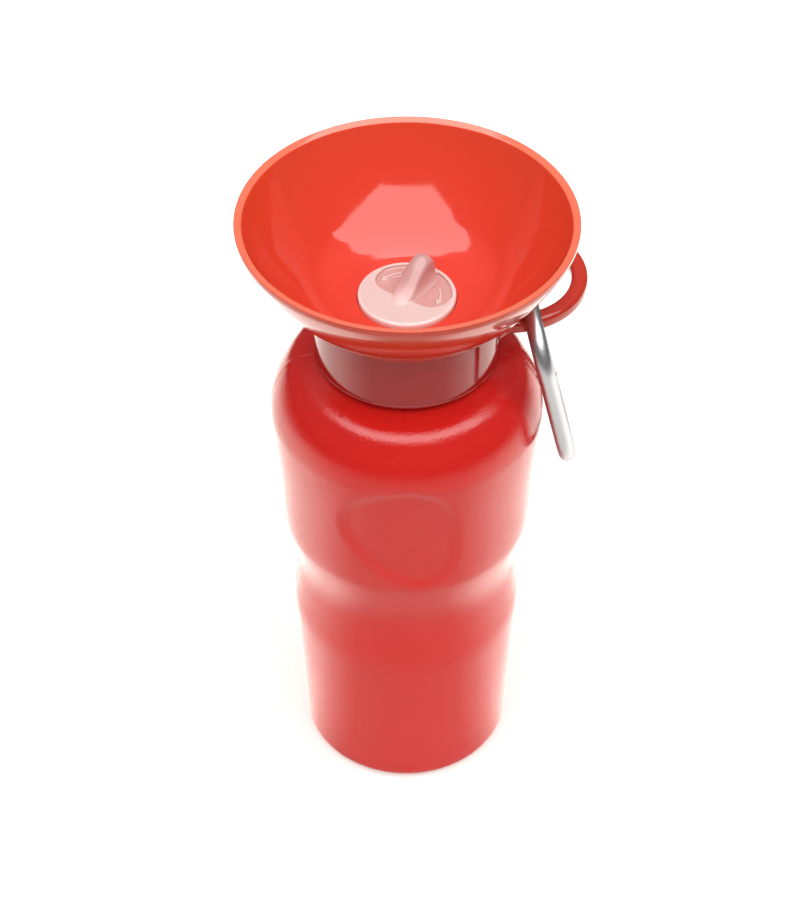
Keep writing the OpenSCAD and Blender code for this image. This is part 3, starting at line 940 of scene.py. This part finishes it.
def add_grain(tree, shader, fine, slow, share, strength, height):
    """Gives the surface its moulded grain, so many millimetres high."""
    group = tree.nodes.new("ShaderNodeGroup")
    group.node_tree = GRAIN
    group.inputs["Fine Scale"].default_value = fine
    group.inputs["Slow Scale"].default_value = slow
    group.inputs["Slow Share"].default_value = share
    bump = tree.nodes.new("ShaderNodeBump")
    bump.inputs["Strength"].default_value = strength
    bump.inputs["Distance"].default_value = height * MM
    tree.links.new(group.outputs["Height"], bump.inputs["Height"])
    tree.links.new(bump.outputs["Normal"], shader.inputs["Normal"])
    return group.outputs["Height"]


def add_mottle(tree, shader, a, b, scale):
    """Gives the surface a colour that drifts between two."""
    group = tree.nodes.new("ShaderNodeGroup")
    group.node_tree = MOTTLE
    group.inputs["Colour A"].default_value = (*a, 1.0)
    group.inputs["Colour B"].default_value = (*b, 1.0)
    group.inputs["Scale"].default_value = scale
    tree.links.new(group.outputs["Colour"], shader.inputs["Base Color"])


def add_height_mask(tree, low, high):
    """0 at the low height, 1 at the high one, in millimetres."""
    place = tree.nodes.new("ShaderNodeTexCoord")
    split = tree.nodes.new("ShaderNodeSeparateXYZ")
    tree.links.new(place.outputs["Object"], split.inputs["Vector"])
    return spread(tree, split.outputs["Z"], low * MM, high * MM, 0.0, 1.0)


def add_reach_mask(tree, low, high):
    """0 at the low distance from the Z axis, 1 at the high one, in millimetres."""
    place = tree.nodes.new("ShaderNodeTexCoord")
    level = tree.nodes.new("ShaderNodeVectorMath")
    level.operation = "MULTIPLY"
    level.inputs[1].default_value = (1.0, 1.0, 0.0)
    reach = tree.nodes.new("ShaderNodeVectorMath")
    reach.operation = "LENGTH"
    tree.links.new(place.outputs["Object"], level.inputs[0])
    tree.links.new(level.outputs["Vector"], reach.inputs[0])
    return spread(tree, reach.outputs["Value"], low * MM, high * MM, 0.0, 1.0)


def add_ramp(tree, value, stops):
    """A colour that follows a value from 0 to 1 through these stops, as share and tone."""
    ramp = tree.nodes.new("ShaderNodeValToRGB")
    elements = ramp.color_ramp.elements
    elements.remove(elements[1])
    first_share, first_tone = stops[0]
    elements[0].position = first_share
    elements[0].color = (*first_tone, 1.0)
    for share, tone in stops[1:]:
        elements.new(share).color = (*tone, 1.0)
    tree.links.new(value, ramp.inputs["Fac"])
    return ramp.outputs["Color"]


def tint(tree, colour, mask, tone):
    """Draws a colour to another one where the mask is 1."""
    mix = tree.nodes.new("ShaderNodeMix")
    mix.data_type = "RGBA"
    mix.inputs["B"].default_value = (*tone, 1.0)
    tree.links.new(mask, mix.inputs["Factor"])
    tree.links.new(colour, mix.inputs["A"])
    return mix.outputs["Result"]


def add_roughness(tree, shader, grain, low, high):
    """Lets the gloss change a little with the grain, whose height is mostly 0.35 to 0.65."""
    level = spread(tree, grain, 0.35, 0.65, low, high)
    tree.links.new(level, shader.inputs["Roughness"])


def squeeze_plastic():
    """Soft polythene of the bottle: satin, with a fine blown grain."""
    material, tree, shader = new_material("squeeze_plastic")
    add_mottle(tree, shader, (0.80, 0.016, 0.013), (0.86, 0.024, 0.018), scale=14.0)
    grain = add_grain(tree, shader, fine=1500.0, slow=90.0, share=0.25, strength=0.8, height=0.17)
    add_roughness(tree, shader, grain, low=0.06, high=0.11)
    shader.inputs["IOR"].default_value = 1.51
    return material


def bowl_plastic():
    """Glossy injection-moulded plastic: orange-red, with painted light and shade: a painted glow
    that lightens it towards the rim, painted shade that darkens the collar under the bowl, and a
    painted pale glow where light would come through the lip."""
    material, tree, shader = new_material("bowl_plastic")
    # Painted light: the base colour lightens from the bowl's floor up to the rim, a painted glow of
    # light coming through the wall.
    painted_glow_rise = add_height_mask(tree, 188.0, 217.0)
    tone = add_ramp(tree, painted_glow_rise, [(0.0, (0.65, 0.040, 0.020)), (1.0, (0.74, 0.062, 0.025))])
    # Painted shade: the collar under the bowl is tinted dark crimson, standing in for the bowl's
    # shadow and the red light bounced onto it.
    painted_collar_shade_height = add_height_mask(tree, 187.4, 186.6)
    painted_collar_shade_reach = add_reach_mask(tree, 29.3, 28.9)
    tone = tint(tree, tone, times(tree, painted_collar_shade_height, painted_collar_shade_reach), (0.47, 0.010, 0.009))
    # Painted light: the top of the lip, inside its outer edge, is tinted pale, a painted glow of
    # light coming through the thin lip.
    above = add_height_mask(tree, 217.55, 217.75)
    painted_lip_glow_reach = add_reach_mask(tree, 51.0, 50.8)
    tone = tint(tree, tone, times(tree, above, painted_lip_glow_reach), (0.83, 0.17, 0.095))
    tree.links.new(tone, shader.inputs["Base Color"])
    grain = add_grain(tree, shader, fine=900.0, slow=45.0, share=0.85, strength=0.45, height=0.10)
    add_roughness(tree, shader, grain, low=0.05, high=0.09)
    shader.inputs["IOR"].default_value = 1.48
    return material


def valve_plastic():
    """Milky, translucent plastic of the valve, with painted light and shade: painted shade in the
    pockets, painted pale glow at the rim.
    """
    material, tree, shader = new_material("valve_plastic")
    # Painted light and shade by height: pale on the disc's side and top, painted shade that turns
    # the finger pockets deep pink, and the fin darker towards its top to hold back its highlight.
    depth = add_height_mask(tree, DISC_TOP - 2.0, DISC_TOP + 4.0)
    tone = add_ramp(tree, depth, [
        (0.0, (0.80, 0.60, 0.57)), (0.10, (0.78, 0.56, 0.53)), (0.16, (0.63, 0.32, 0.295)),
        (0.22, (0.64, 0.34, 0.315)), (0.31, (0.73, 0.55, 0.52)), (0.36, (0.73, 0.53, 0.50)),
        (0.62, (0.68, 0.43, 0.405)), (1.0, (0.58, 0.345, 0.325)),
    ])
    # Painted light: the disc's rim is tinted pale, a painted glow and highlight along its edge.
    painted_rim_glow = add_reach_mask(tree, 13.9, 14.5)
    tone = tint(tree, tone, painted_rim_glow, (0.84, 0.66, 0.63))
    tree.links.new(tone, shader.inputs["Base Color"])
    grain = add_grain(tree, shader, fine=1500.0, slow=200.0, share=0.5, strength=0.1, height=0.04)
    add_roughness(tree, shader, grain, low=0.12, high=0.22)
    shader.inputs["Alpha"].default_value = 0.9
    shader.inputs["IOR"].default_value = 1.5
    return material


def tube_plastic():
    """Cloudy extruded tube."""
    material, tree, shader = new_material("tube_plastic")
    add_mottle(tree, shader, (0.84, 0.85, 0.86), (0.92, 0.93, 0.94), scale=40.0)
    grain = add_grain(tree, shader, fine=1200.0, slow=160.0, share=0.5, strength=0.1, height=0.03)
    add_roughness(tree, shader, grain, low=0.25, high=0.4)
    shader.inputs["Alpha"].default_value = 0.6
    return material


def seal_silicone():
    """Matte silicone of the gasket and the valve's seal."""
    material, tree, shader = new_material("seal_silicone")
    add_mottle(tree, shader, (0.78, 0.76, 0.73), (0.86, 0.84, 0.81), scale=50.0)
    grain = add_grain(tree, shader, fine=1800.0, slow=240.0, share=0.4, strength=0.2, height=0.04)
    add_roughness(tree, shader, grain, low=0.5, high=0.65)
    return material


def clip_metal():
    """Satin aluminium of the clip, with a very fine, even grain."""
    material, tree, shader = new_material("clip_metal")
    add_mottle(tree, shader, (0.61, 0.615, 0.64), (0.67, 0.675, 0.70), scale=70.0)
    grain = add_grain(tree, shader, fine=1800.0, slow=260.0, share=0.3, strength=0.05, height=0.01)
    add_roughness(tree, shader, grain, low=0.32, high=0.40)
    shader.inputs["Metallic"].default_value = 1.0
    shader.inputs["Specular Tint"].default_value = (0.60, 0.60, 0.62, 1.0)
    return material


def pin_steel():
    """Bright steel of the pins and the spring."""
    material, tree, shader = new_material("pin_steel")
    add_mottle(tree, shader, (0.50, 0.50, 0.52), (0.60, 0.60, 0.61), scale=90.0)
    grain = add_grain(tree, shader, fine=3000.0, slow=400.0, share=0.3, strength=0.1, height=0.02)
    add_roughness(tree, shader, grain, low=0.15, high=0.25)
    shader.inputs["Metallic"].default_value = 1.0
    return material


def finish_with(piece, material):
    """Gives a piece this one material."""
    piece.data.materials.clear()
    piece.data.materials.append(material)


# ---------------------------------------------------------------- studio


def light_path_mask(tree, *kinds):
    """1 for rays of these kinds, 0 for the rest."""
    path = tree.nodes.new("ShaderNodeLightPath")
    mask = path.outputs[kinds[0]]
    for kind in kinds[1:]:
        either = tree.nodes.new("ShaderNodeMath")
        either.operation = "MAXIMUM"
        tree.links.new(mask, either.inputs[0])
        tree.links.new(path.outputs[kind], either.inputs[1])
        mask = either.outputs["Value"]
    return mask


def glow(tree, strength):
    """Light given off at a strength that is worked out by nodes."""
    node = tree.nodes.new("ShaderNodeEmission")
    tree.links.new(strength, node.inputs["Strength"])
    return node.outputs["Emission"]


def add_shaders(tree, a, b):
    """Two shaders' light together."""
    total = tree.nodes.new("ShaderNodeAddShader")
    tree.links.new(a, total.inputs[0])
    tree.links.new(b, total.inputs[1])
    return total.outputs["Shader"]


def studio_material(name):
    """An empty material and its node tree."""
    material = bpy.data.materials.new(name)
    material.use_nodes = True
    material.node_tree.nodes.clear()
    return material, material.node_tree


def make_floor():
    """A round white light table that keeps a soft shadow, and a floor beyond it that looks white
    to the camera and throws little light up."""
    deselect_all()
    bpy.ops.mesh.primitive_plane_add(size=FLOOR_SIZE, location=(0.0, 0.0, 0.0))
    floor = named("floor")
    material, tree = studio_material("studio_floor")
    out = tree.nodes.new("ShaderNodeOutputMaterial")
    place = tree.nodes.new("ShaderNodeTexCoord")
    far = tree.nodes.new("ShaderNodeVectorMath")
    far.operation = "LENGTH"
    tree.links.new(place.outputs["Object"], far.inputs[0])
    reach = far.outputs["Value"]
    split = tree.nodes.new("ShaderNodeSeparateXYZ")
    tree.links.new(place.outputs["Object"], split.inputs["Vector"])
    matte = tree.nodes.new("ShaderNodeBsdfDiffuse")
    tone = tree.nodes.new("ShaderNodeCombineColor")
    table = spread(tree, reach, TABLE_R, TABLE_R + TABLE_FADE, 1.0, 0.0)
    for channel, white in TABLE_TONE.items():
        tree.links.new(spread(tree, table, 0.0, 1.0, FLOOR_TONE, white), tone.inputs[channel])
    tree.links.new(tone.outputs["Color"], matte.inputs["Color"])
    seen = times(tree, light_path_mask(tree, "Is Camera Ray"),
                 spread(tree, reach, *SHADOW_REACH, SHADOW_LIGHT, 1.0))
    toward = tree.nodes.new("ShaderNodeMath")
    toward.operation = "DIVIDE"
    tree.links.new(split.outputs["Y"], toward.inputs[0])
    tree.links.new(reach, toward.inputs[1])
    fan = times(tree, spread(tree, toward.outputs["Value"], *TABLE_LIT, 0.0, 1.0), table)
    shine = times(tree, fan, light_path_mask(tree, "Is Glossy Ray", "Is Transmission Ray"))
    under = times(tree, fan, light_path_mask(tree, "Is Diffuse Ray"))
    warm = glow(tree, spread(tree, shine, 0.0, 1.0, 0.0, TABLE_IN_GLOSS))
    warm.node.inputs["Color"].default_value = TABLE_WARMTH
    lit = add_shaders(tree, glow(tree, seen), warm)
    lit = add_shaders(tree, lit, glow(tree, spread(tree, under, 0.0, 1.0, 0.0, TABLE_FILL)))
    tree.links.new(add_shaders(tree, matte.outputs["BSDF"], lit), out.inputs["Surface"])
    finish_with(floor, material)


SOFTBOX_EDGE = [
    (-0.61, -1.49), (0.66, -1.50), (0.98, -1.12), (1.31, -0.75), (1.76, -0.13), (0.71, 0.21),
    (0.49, 0.47), (0.17, 0.83), (0.02, 1.25), (-0.06, 1.03), (-0.27, 0.63), (-0.54, 0.48),
    (-0.85, 0.18), (-1.12, -0.33), (-1.0, -0.89),
]


def make_softbox():
    """Overhead softbox, seen in the bowl's gloss."""
    panel = draw_face("softbox", [(x / MM, y / MM, SOFTBOX_Z) for x, y in SOFTBOX_EDGE])
    done()
    material, tree = studio_material("softbox_cloth")
    out = tree.nodes.new("ShaderNodeOutputMaterial")
    mirrored = light_path_mask(tree, "Is Glossy Ray")
    level = spread(tree, mirrored, 0.0, 1.0, SOFTBOX, SOFTBOX_SEEN)
    tree.links.new(glow(tree, level), out.inputs["Surface"])
    finish_with(panel, material)
    panel.visible_camera = False


def make_world():
    """White behind the object, a dim room in its gloss, and a little even fill."""
    world = bpy.data.worlds.new("studio")
    bpy.context.scene.world = world
    world.use_nodes = True
    tree = world.node_tree
    tree.nodes.clear()
    out = tree.nodes.new("ShaderNodeOutputWorld")
    room = tree.nodes.new("ShaderNodeBackground")
    seen = light_path_mask(tree, "Is Camera Ray", "Is Transmission Ray")
    white = spread(tree, seen, 0.0, 1.0, 0.0, 1.0 - ROOM)
    way = tree.nodes.new("ShaderNodeTexCoord")
    split = tree.nodes.new("ShaderNodeSeparateXYZ")
    tree.links.new(way.outputs["Generated"], split.inputs["Vector"])
    high = spread(tree, split.outputs["Z"], *ZENITH_RISE, 0.0, ZENITH - ROOM)
    above = times(tree, high, light_path_mask(tree, "Is Glossy Ray"))
    total = tree.nodes.new("ShaderNodeMath")
    total.operation = "ADD"
    tree.links.new(white, total.inputs[0])
    tree.links.new(above, total.inputs[1])
    level = tree.nodes.new("ShaderNodeMath")
    level.operation = "ADD"
    level.inputs[1].default_value = ROOM
    tree.links.new(total.outputs["Value"], level.inputs[0])
    tree.links.new(level.outputs["Value"], room.inputs["Strength"])
    room.inputs["Color"].default_value = (1.0, 1.0, 1.0, 1.0)
    tree.links.new(room.outputs["Background"], out.inputs["Surface"])


def make_camera():
    """A long lens in front of the bottle and above it, aimed at its middle."""
    data = bpy.data.cameras.new("camera")
    data.lens = CAMERA_LENS
    data.sensor_width = CAMERA_SENSOR
    data.sensor_fit = "AUTO"
    camera = bpy.data.objects.new("camera", data)
    bpy.context.scene.collection.objects.link(camera)
    camera.location = CAMERA_PLACE
    camera.rotation_euler = (CAMERA_AIM - CAMERA_PLACE).to_track_quat("-Z", "Y").to_euler()
    bpy.context.scene.camera = camera


# ---------------------------------------------------------------- the part, put together

make_camera()
make_world()
make_floor()
make_softbox()
bpy.context.scene.view_settings.view_transform = "Standard"

red_bottle = squeeze_plastic()
red_bowl = bowl_plastic()
milky = valve_plastic()
cloudy = tube_plastic()
silicone = seal_silicone()
aluminium = clip_metal()
steel = pin_steel()

bottle = make_bottle()
finish_with(bottle, red_bottle)
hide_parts("bottle")
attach(bottle, "bottle")

neck_thread = make_thread(
    "neck_thread", root_r=NECK_R - 0.1, crest=THREAD_DEPTH, low_z=THREAD_Z,
    turns=2.0, sink=-THREAD_SINK,
)
finish_with(neck_thread, red_bottle)
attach(neck_thread, "bottle")

bowl = make_bowl()
finish_with(bowl, red_bowl)
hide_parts("bowl")
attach(bowl, "bowl_cap")

collar_thread = make_thread(
    "collar_thread", root_r=COLLAR_BORE + 0.1, crest=-THREAD_DEPTH, low_z=THREAD_Z + PITCH / 2,
    turns=1.8, sink=THREAD_SINK,
)
finish_with(collar_thread, red_bowl)
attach(collar_thread, "bowl_cap")

valve = make_valve()
finish_with(valve, milky)
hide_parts("valve_knob")
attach(valve, "valve")

for node, material in (
    ("neck_gasket", silicone), ("valve_seal", silicone), ("dip_tube", cloudy),
    ("clip_frame", aluminium), ("clip_gate", aluminium), ("gate_pin", steel),
    ("latch_pin", steel), ("gate_spring", steel),
):
    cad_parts[node].material_slots[0].material = material
